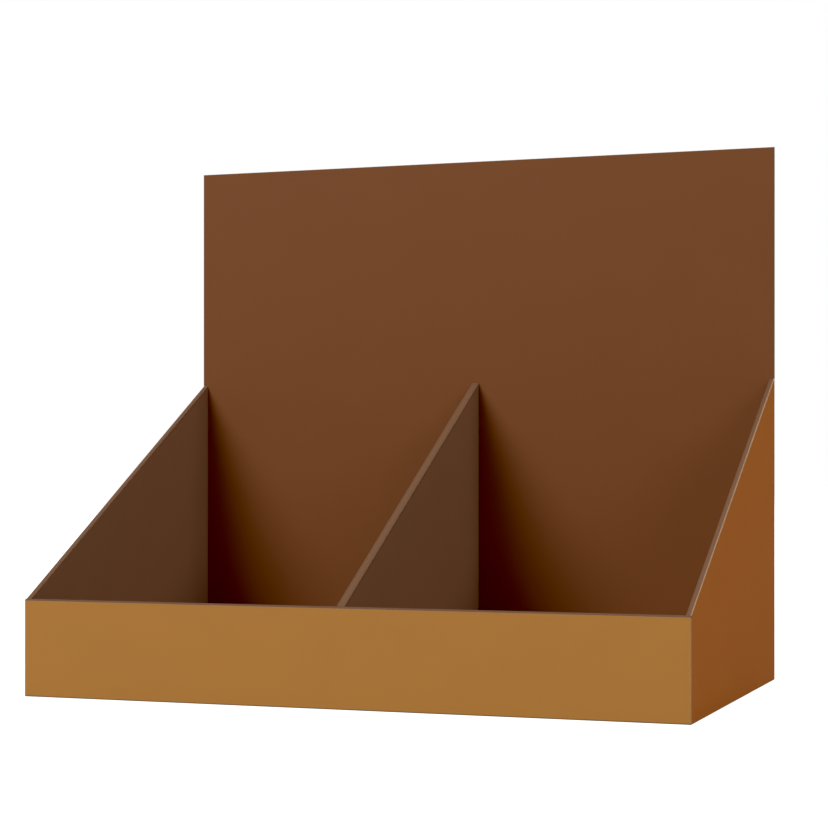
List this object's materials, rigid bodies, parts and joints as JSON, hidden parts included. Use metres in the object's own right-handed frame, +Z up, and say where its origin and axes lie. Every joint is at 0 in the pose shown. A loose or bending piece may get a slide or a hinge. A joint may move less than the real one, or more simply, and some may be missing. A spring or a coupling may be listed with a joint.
{
  "type": "counter display dispenser box",
  "caption": "Open counter-top display tray of folded board with a low front, slanted side walls, a tall header panel behind and an upright divider between its bays.",
  "frame": {"origin": "centre of the outside box, at the level that the tray stands on", "axes": "+X to the right seen from the front, +Y to the back where the header is, +Z up"},
  "size_m": [0.36, 0.222, 0.305],
  "materials": {
    "tray_board": "matt board, printed tan on the sheet's outer side and dark brown on its inner side",
    "divider_board": "matt board, dark brown on both sides"
  },
  "bodies": {
    "root": {"display_tray": "tray_board", "bay_divider": "divider_board"}
  },
  "joints": []
}
